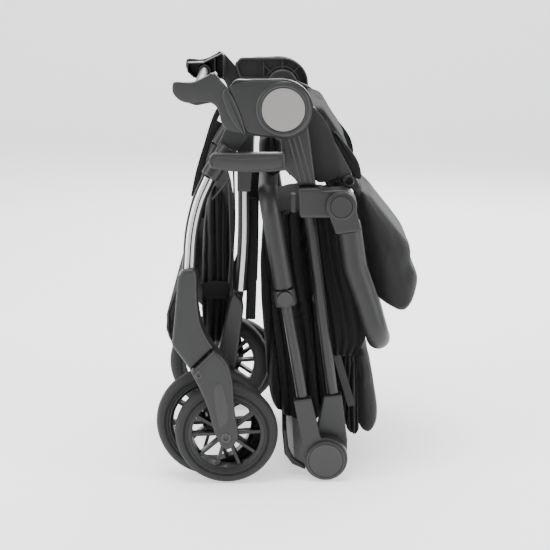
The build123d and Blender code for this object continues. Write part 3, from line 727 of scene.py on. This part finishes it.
# ---- Footboard: a moulded tread between the front shoes, bowed forwards, with raised
# slanted ribs that stop small feet from slipping.
board_low, board_high = (np.array(c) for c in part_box("footboard"))
board_finish = grained("footboard_plastic", 16, 22, 0.5)
rows_z = np.linspace(0, 1, 90)
columns_y = np.linspace(board_low[1], board_high[1], 420)
bow = np.interp(rows_z, (0, 0.15, 0.30, 0.52, 0.78, 1), (0.011, 0.004, 0.0005, 0.001, 0.009, 0.022))
grid_z = board_low[2] + rows_z[:, None] * (board_high[2] - board_low[2]) + 0 * columns_y
slant = (columns_y[None, :] / 0.0125 + rows_z[:, None] * 3.2) % 1
window = np.clip(np.minimum(rows_z, 1 - rows_z) * 12, 0, 1)[:, None]
rib = 0.0022 * window * np.clip(1.6 - np.abs(slant - 0.5) * 5.5, 0, 1)
front_x = board_low[0] + 0.0022 + bow[:, None] - rib
back_x = board_low[0] + 0.0055 + bow[:, None] + 0 * columns_y
outer_face = np.stack([front_x, np.broadcast_to(columns_y, front_x.shape), grid_z], -1)
inner_face = np.stack([back_x, np.broadcast_to(columns_y, back_x.shape), grid_z], -1)
board_points = np.concatenate([outer_face, inner_face[::-1]], 0)
board = surface("footboard_tread", board_points, closed_v=True, finish=board_finish, smooth=50)
settle(closed_ends(board), "footboard")


# ---- Fabrics: black woven polyester for the panels, a lighter ribbed tape for webbing
# and piping, and an open mesh for the basket.
def woven(name, dark, light, weave, sheen=0.06, depth=0.0002, rough=0.85):
    finish = Finish(name, grey(dark), rough, sheen=sheen, gloss=0.15)
    tone = finish.noise(11, 6.0)
    finish.feed("Base Color", finish.mix(tone, grey(dark), grey(light)))
    fine = finish.noise(weave, 2.0, 0.7)
    threads = finish.add("ShaderNodeTexWave", {"wave_type": "BANDS", "bands_direction": "Z"},
                         {"Vector": finish.place, "Scale": weave * 0.5, "Distortion": 1.5,
                          "Detail": 1.0}, "Fac")
    finish.feed("Roughness", fine * 0.15 + (rough - 0.08))
    finish.bump(fine + threads * 0.35 + finish.noise(70, 5.0) * 2.2, depth)
    return finish


panel_cloth = woven("black_panel_cloth", 24, 31, 1300)
side_cloth = woven("dark_grey_side_cloth", 38, 48, 1100)
hood_cloth = woven("soft_hood_cloth", 37, 44, 1700, sheen=0.12, depth=0.00012)
tape = woven("ribbed_tape", 55, 74, 900, depth=0.0002)
basket_cloth = woven("basket_mesh_cloth", 23, 32, 700, depth=0.0004)


def folds(u, y, seed, size):
    """Soft wrinkles: a sum of slanted sines whose pitch and phase come from the seed."""
    pick = np.random.default_rng(seed)
    total = np.zeros(np.broadcast(u, y).shape)
    for octave in range(4):
        a, b = pick.uniform(-1, 1, 2)
        phase, pitch = pick.uniform(0, 6.28), pick.uniform(0.6, 1.4) * (1.7 ** octave)
        total += np.sin((u * a * 38 + y * b * 55) * pitch + phase) / (1.5 ** octave)
    return size * total / 2.2


def bundle(name, rows, half, finish, creases=(), edge=0.012, square=0.22, ripple=0.0006, seed=1,
           levels=150, around=260):
    """Cloth folded into a long bundle. Each row is (height, front, rear); every level
    between them is a superellipse across the stroller. A crease is a straight valley down both
    sides: (place at the foot, place at the top, depth, width), the places and the width
    as shares of the bundle's reach in X. Both ends are drawn in along a quarter circle."""
    knots = spline(rows, 400)
    foot, top = rows[0][0], rows[-1][0]
    share = 0.5 - 0.5 * np.cos(np.linspace(0, math.pi, levels))
    height = foot + share * (top - foot)
    front = np.interp(height, knots[:, 0], knots[:, 1])
    rear = np.interp(height, knots[:, 0], knots[:, 2])
    into = np.clip(np.minimum(height - foot, top - height) / edge, 0, 1)
    cap = np.sqrt(np.clip(1 - (1 - into) ** 2, 0, None))[:, None]
    turn = np.linspace(0, 2 * math.pi, around, endpoint=False)[None, :]
    across = np.sign(np.cos(turn)) * np.abs(np.cos(turn)) ** 0.55
    outward_y = np.sign(np.sin(turn)) * np.abs(np.sin(turn)) ** square
    middle, wide = ((front + rear) / 2)[:, None], ((rear - front) / 2)[:, None]
    place = (middle + wide * across - front.min()) / (rear.max() - front.min())
    valley = np.zeros((levels, around))
    pick = np.random.default_rng(seed)
    for low_share, high_share, depth, width in creases:
        sway = 0.02 * np.sin(share * pick.uniform(4, 9) + pick.uniform(0, 6.28))
        centre = (low_share + (high_share - low_share) * share + sway)[:, None]
        valley += depth * np.exp(-((place - centre) / width) ** 2)
    valley += folds(place * 0.2 + 0 * height[:, None], height[:, None] * 0.35, seed, ripple * 2)
    reach = half - edge * (1 - cap) - valley * np.abs(outward_y) ** 4 * cap
    y = outward_y * reach
    x = middle + wide * across * cap + folds(y, height[:, None], seed + 3, ripple) * cap * across
    piece = surface(name, np.stack([x, y, height[:, None] + 0 * x], -1), closed_u=True,
                    finish=finish, smooth=180)
    outward(piece.data)
    piece.data.shade_smooth()
    return piece


def inflated(piece, reach=0.006, voxel=0.005, pressure=4.0, frames=20):
    """Cloth under air pressure: the skin swells for some frames, each point moving no
    further than the reach, and is then divided once."""
    remesh = piece.modifiers.new("lattice", "REMESH")
    remesh.mode = "VOXEL"
    remesh.voxel_size = voxel
    apply_modifiers(piece)
    rest = vertices_of(piece.data)
    cloth = piece.modifiers.new("cloth", "CLOTH")
    cloth.settings.use_pressure = True
    cloth.settings.uniform_pressure_force = pressure
    cloth.settings.effector_weights.gravity = 0
    cloth.point_cache.frame_end = frames
    for number in range(1, frames + 1):
        bpy.context.scene.frame_set(number)
    depsgraph = bpy.context.evaluated_depsgraph_get()
    swollen = piece.evaluated_get(depsgraph)
    moved = vertices_of(swollen.data) - rest
    size = np.linalg.norm(moved, axis=1, keepdims=True)
    piece.modifiers.clear()
    place = rest + moved * np.minimum(1, reach / np.maximum(size, 1e-9))
    piece.data.vertices.foreach_set("co", place.ravel())
    bpy.context.scene.frame_set(1)
    finer = piece.modifiers.new("finer", "SUBSURF")
    finer.levels = finer.render_levels = 1
    apply_modifiers(piece)
    piece.data.shade_smooth()
    return piece


def vertices_of(mesh):
    place = np.empty(len(mesh.vertices) * 3)
    mesh.vertices.foreach_get("co", place)
    return place.reshape(-1, 3)


def rows_in(node, shares):
    """Rows (height, front, rear) given as shares of a node's box in Z, X and X."""
    node_low, node_high = (np.array(c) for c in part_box(node))
    return [(node_low[2] + h * (node_high[2] - node_low[2]),
             node_low[0] + a * (node_high[0] - node_low[0]),
             node_low[0] + b * (node_high[0] - node_low[0])) for h, a, b in shares]


def half_width(node):
    return abs(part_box(node)[0][1])


# ---- Leg rest: a padded flap of smooth cloth that narrows to its hinge, with one seam
# that runs down across both sides.
leg_half = half_width("leg_rest_pad")
leg_pad = bundle("leg_rest_cushion", rows_in("leg_rest_pad", (
    (0.010, 0.60, 0.93), (0.05, 0.52, 0.95), (0.14, 0.34, 0.975), (0.27, 0.26, 0.985),
    (0.37, 0.22, 0.87), (0.51, 0.16, 0.84), (0.63, 0.11, 0.66), (0.80, 0.05, 0.36),
    (0.94, 0.02, 0.13), (0.99, 0.02, 0.08))), leg_half - 0.004, hood_cloth,
    creases=((1.25, -0.25, 0.006, 0.014), (1.05, 0.30, 0.003, 0.04), (1.30, 0.55, 0.004, 0.05)),
    edge=0.022, square=0.30, seed=3)
inflated(leg_pad, reach=0.005)
settle(leg_pad, "leg_rest_pad")

# ---- Seat: padded cloth over the seat rails, a side panel and a small rear flap on each
# flank, and the open end of the tube that carries the leg rest.
seat_half = half_width("seat_pad")
seat_pad = bundle("seat_cushion", rows_in("seat_pad", (
    (0.02, 0.80, 0.88), (0.10, 0.72, 0.98), (0.35, 0.53, 0.84), (0.56, 0.36, 0.66),
    (0.82, 0.14, 0.46), (0.98, 0.02, 0.30))), seat_half - 0.003, panel_cloth,
    creases=((0.3, 0.4, 0.004, 0.06), (0.7, 0.6, 0.003, 0.05)), edge=0.010, seed=5)
inflated(seat_pad, reach=0.005)
settle(seat_pad, "seat_pad")
seat_low, seat_high = (np.array(c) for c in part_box("seat_pad"))
rail_face = abs(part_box("seat_rails")[0][1])
tube_place = flat(joint("leg_rest_tilt")["pos_m"])
side_panel_outline = smooth_outline([
    (seat_low[0] + 0.008, seat_high[2] + 0.001), (seat_low[0] + 0.028, seat_high[2] - 0.015),
    (seat_low[0] + 0.042, seat_high[2] - 0.037), (seat_low[0] + 0.053, seat_high[2] - 0.064),
    (seat_high[0] - 0.016, seat_low[2] + 0.006), (tube_place[0] - 0.019, tube_place[1] + 0.006),
    (tube_place[0] - 0.050, tube_place[1] - 0.002), (seat_low[0] + 0.011, seat_low[2] + 0.012),
    (seat_low[0] + 0.005, seat_low[2] + 0.045), (seat_low[0] + 0.003, seat_low[2] + 0.075)])
flap_outline = smooth_outline([
    (seat_high[0] - 0.026, seat_low[2] + 0.052), (seat_high[0] - 0.008, seat_low[2] + 0.034),
    (seat_high[0] + 0.012, seat_low[2] + 0.006), (seat_high[0] + 0.018, tube_place[1] + 0.004),
    (seat_high[0] + 0.010, tube_place[1] + 0.001), (seat_high[0] - 0.003, seat_low[2] - 0.004),
    (seat_high[0] - 0.020, seat_low[2] + 0.014)])
for side, sign in SIDES:
    side_panel = shell(f"seat_side_panel_{side}", side_panel_outline, sign,
                       rolled(rail_face + 0.0004, rail_face + 0.0036, 0.0030), side_cloth)
    flap = shell(f"seat_flap_{side}", flap_outline, sign,
                 rolled(seat_half - 0.016, seat_half - 0.001, 0.0030), panel_cloth)
    for cloth_piece in (side_panel, flap):
        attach(cloth_piece, "seat")
    tube_end = lathe(f"seat_tube_end_{side}", tube_place, [
        (0.0060, rail_face - 0.004), (0.0090, rail_face - 0.004), (0.0090, rail_face + 0.0075),
        (0.0082, rail_face + 0.0085), (0.0066, rail_face + 0.0085),
        (0.0060, rail_face + 0.0075)], sign, plastic, count=72)
    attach(tube_end, "seat")

# ---- Backrest: one folded bundle of cloth behind the tubes, with deep straight folds that
# lean forwards towards the top.
back_half = half_width("backrest")
back_low = np.array(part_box("backrest")[0])
BACK_SLANT = 0.30
BACK_CREASE_WIDTH = 0.022
back_creases = [(place, place - BACK_SLANT * lean, depth, BACK_CREASE_WIDTH)
                for place, lean, depth in ((0.12, 0.2, 0.014), (0.22, 0.45, 0.020),
                                           (0.33, 0.7, 0.012), (0.46, 0.9, 0.022),
                                           (0.60, 1.0, 0.012), (0.73, 1.0, 0.024),
                                           (0.90, 1.1, 0.014), (1.08, 1.1, 0.018))]
back_bundle = bundle("backrest_bundle", rows_in("backrest", (
    (0.005, 0.40, 0.66), (0.045, 0.22, 0.76), (0.10, 0.13, 0.78), (0.20, 0.085, 0.76),
    (0.35, 0.06, 0.73), (0.46, 0.04, 0.80), (0.555, 0.025, 0.93), (0.63, 0.02, 0.965),
    (0.725, 0.015, 0.90), (0.80, 0.025, 0.92), (0.895, 0.05, 0.93), (0.965, 0.12, 0.86),
    (0.99, 0.30, 0.70))), back_half - 0.001, panel_cloth, creases=back_creases, edge=0.014,
    square=0.12, ripple=0.0005, seed=21, levels=190, around=420)
settle(back_bundle, "backrest")

# ---- Upper backrest: the short fold of cloth that stays above the handle's bar.
grip_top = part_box("handle_grip")[1][2]
upper_fold = bundle("backrest_upper_fold", (
    (grip_top + 0.004, back_low[0] + 0.012, back_low[0] + 0.034),
    (grip_top + 0.014, back_low[0] + 0.003, back_low[0] + 0.039),
    (grip_top + 0.045, back_low[0] + 0.000, back_low[0] + 0.037),
    (grip_top + 0.068, back_low[0] + 0.003, back_low[0] + 0.034)), back_half - 0.004, panel_cloth,
    creases=((0.3, 0.4, 0.010, 0.08), (0.75, 0.6, 0.008, 0.08)), edge=0.010, seed=33)
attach(upper_fold, "back_frame")

# ---- Side gussets: pleated cloth that joins the backrest to the hood, just inside the
# back tubes. Each is a thin wall whose depth is a sine of its width.
mount_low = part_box("bumper_mounts")[0]
GUSSET_AHEAD = 0.048
tube_back = flat(joint("bumper_fold")["pos_m"]) - (GUSSET_AHEAD, 0)
GUSSET_THICK = 0.0014
GUSSET_PLEATS = 4.5
GUSSET_CLEAR = 0.0042
PLEAT_DEPTH = 0.0028
PLEAT_LEAN = 2.2
PLEAT_LEVEL = 0.3
gusset_rows = spline([
    (mount_low[2] - 0.002, tube_back[0], tube_back[0] + 0.056),
    (mount_low[2] - 0.080, tube_back[0] + 0.008, tube_back[0] + 0.066),
    (mount_low[2] - 0.130, tube_back[0] + 0.014, tube_back[0] + 0.082),
    (mount_low[2] - 0.180, tube_back[0] + 0.020, tube_back[0] + 0.092),
    (mount_low[2] - 0.205, tube_back[0] + 0.024, tube_back[0] + 0.088),
    (mount_low[2] - 0.230, tube_back[0] + 0.030, tube_back[0] + 0.074)], 70)
share = np.linspace(0, 1, 90)
for side, sign in SIDES:
    level, ahead, behind = (gusset_rows[:, k][:, None] for k in range(3))
    pleat = PLEAT_DEPTH * np.sin(2 * math.pi * (GUSSET_PLEATS * share
                                                + (level - PLEAT_LEVEL) * PLEAT_LEAN))
    wall_x = ahead + (behind - ahead) * share
    walls = [np.stack([wall_x, sign * (rail_face + GUSSET_CLEAR + pleat + skin),
                       level + 0 * wall_x], -1)
             for skin in (GUSSET_THICK / 2, -GUSSET_THICK / 2)]
    loop = np.concatenate([walls[0], walls[1][:, ::-1]], 1)
    gusset = closed_ends(surface(f"side_gusset_{side}", loop, closed_u=True, finish=panel_cloth,
                                 smooth=70))
    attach(gusset, "back_frame")

# ---- Hood: a smooth padded panel over crumpled cloth, both folded down behind the frame.
hood_half = half_width("canopy_fabric")
hood_panel = bundle("hood_panel", rows_in("canopy_fabric", (
    (0.012, 0.60, 0.93), (0.045, 0.57, 0.95), (0.13, 0.585, 0.975), (0.22, 0.57, 0.965),
    (0.37, 0.56, 0.90), (0.59, 0.54, 0.80), (0.75, 0.49, 0.72), (0.82, 0.50, 0.64))),
    hood_half - 0.005, hood_cloth, edge=0.014, square=0.28, seed=41)
inflated(hood_panel, reach=0.004)
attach(hood_panel, "canopy")
hood_bundle = bundle("hood_bundle", rows_in("canopy_fabric", (
    (0.01, 0.34, 0.57), (0.055, 0.26, 0.58), (0.20, 0.12, 0.565), (0.37, 0.04, 0.55),
    (0.59, 0.04, 0.52), (0.75, 0.06, 0.475), (0.89, 0.12, 0.40), (0.985, 0.18, 0.28))),
    hood_half - 0.002, panel_cloth, creases=((0.15, 0.3, 0.010, 0.05), (0.38, 0.45, 0.014, 0.04),
    (0.62, 0.55, 0.009, 0.05), (0.84, 0.7, 0.012, 0.04), (0.2, 0.9, 0.006, 0.05)), edge=0.012,
    ripple=0.0014, seed=47)
settle(hood_bundle, "canopy_fabric")

# ---- Basket: a gathered bag of mesh cloth hung between the front and the rear legs, with
# a light piping and a cord on each side, a short webbing strap, the band down the side
# of the seat cloth and the hem along the front legs.
basket_half = half_width("basket")
basket_bag = bundle("basket_bag", rows_in("basket", (
    (0.008, 0.14, 0.80), (0.04, 0.06, 0.86), (0.28, 0.03, 0.94), (0.47, 0.05, 0.97),
    (0.74, 0.12, 0.97), (0.85, 0.21, 0.93), (0.96, 0.30, 0.80), (0.995, 0.38, 0.66))),
    basket_half - 0.001, basket_cloth, creases=((0.15, 0.25, 0.010, 0.06),
    (0.42, 0.5, 0.013, 0.05), (0.62, 0.72, 0.008, 0.05), (0.86, 0.9, 0.011, 0.05)), edge=0.012,
    ripple=0.0014, seed=61)
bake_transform(basket_bag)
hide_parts("basket")


EDGE_CLEAR = 0.002
BAND_INSET = 0.004
HEM_Y = 0.146
# Each strap: distance from the middle, route as (X, Z) from the hub's main pivot, width,
# thickness, finish, body and material slot.
strap_table = {
    "basket_piping": (basket_half + EDGE_CLEAR, ((-0.087, -0.125), (-0.0855, -0.181),
                      (-0.085, -0.241), (-0.088, -0.291)), 0.0034, 0.003, tape, "rear_frame",
                      "basket_mesh"),
    "basket_cord": (basket_half + EDGE_CLEAR, ((-0.0865, -0.119), (-0.097, -0.133),
                    (-0.114, -0.153)), 0.003, 0.003, tape, "rear_frame", "basket_mesh"),
    "basket_strap": (basket_half + EDGE_CLEAR, ((-0.130, -0.307), (-0.111, -0.302),
                     (-0.089, -0.305)), 0.030, 0.002, panel_cloth, "front_frame",
                     "basket_mesh"),
    "side_band": (back_half - BAND_INSET, ((-0.049, -0.149), (-0.050, -0.221),
                  (-0.051, -0.291), (-0.053, -0.349)), 0.0165, 0.004, panel_cloth,
                  "rear_frame", "dark_fabric"),
    "front_hem": (HEM_Y, ((-0.101, -0.026), (-0.117, -0.053), (-0.133, -0.101),
                  (-0.143, -0.146)), 0.010, 0.003, panel_cloth, "front_frame", "dark_fabric")}
for side, sign in SIDES:
    for name, (away, route, width, thick, finish, body, slot) in strap_table.items():
        points = [(pivot[0] + x, sign * away, pivot[1] + z) for x, z in route]
        strap(f"{name}_{side}", points, width, thick, finish, body)

# ---- Pivot caps: turned discs with a fine groove, on the folding joint and on the bumper
# bar's pivot.
cap_low, cap_high = (np.array(c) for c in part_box("fold_caps"))
cap_face = abs(cap_low[1])
cap_r = (cap_high[0] - cap_low[0]) / 2
cap_place = flat(joint("handle_fold")["pos_m"])
end_face = abs(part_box("bumper_ends")[0][1])
end_place = flat(joint("bumper_fold")["pos_m"])
for side, sign in SIDES:
    cap = lathe(f"fold_cap_disc_{side}", cap_place, [
        (0.0004, cap_face + 0.0008), (cap_r * 0.86, cap_face + 0.0012),
        (cap_r * 0.885, cap_face + 0.0004), (cap_r * 0.90, cap_face + 0.0012),
        (cap_r * 0.97, cap_face + 0.0006), (cap_r, cap_face - 0.0020),
        (cap_r, cap_face - 0.0055), (0.0004, cap_face - 0.0055)], sign, plastic_face)
    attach(cap, "handle_lower")
    pivot_cap = lathe(f"bumper_pivot_disc_{side}", end_place, [
        (0.0004, end_face + 0.0008), (0.0165, end_face + 0.0010), (0.0172, end_face + 0.0001),
        (0.0180, end_face + 0.0010), (0.0215, end_face + 0.0004), (0.0225, end_face - 0.0012),
        (0.0004, end_face - 0.0012)], sign, plastic)
    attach(pivot_cap, "bumper")

# ---- Flutes: upright half-round ribs down the outer face of each back sleeve.
FLUTES = 3
FLUTE_GAP = 0.0085
FLUTE_WIDTH = 0.0072
FLUTE_SINK = 0.0024
sleeve_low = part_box("back_knuckles")[0]
for side, sign in SIDES:
    for flute in range(FLUTES):
        shift = FLUTE_GAP * (flute - 1)
        face_y = sign * (abs(sleeve_low[1]) - FLUTE_SINK)
        strap(f"sleeve_flute_{side}_{flute + 1}", [
            (pivot[0] + 0.0130 + shift, face_y, pivot[1] - 0.040),
            (pivot[0] + 0.0235 + shift, face_y, pivot[1] - 0.078),
            (pivot[0] + 0.0345 + shift, face_y, pivot[1] - 0.118)], FLUTE_WIDTH,
            FLUTE_WIDTH, plastic,
            "back_frame")
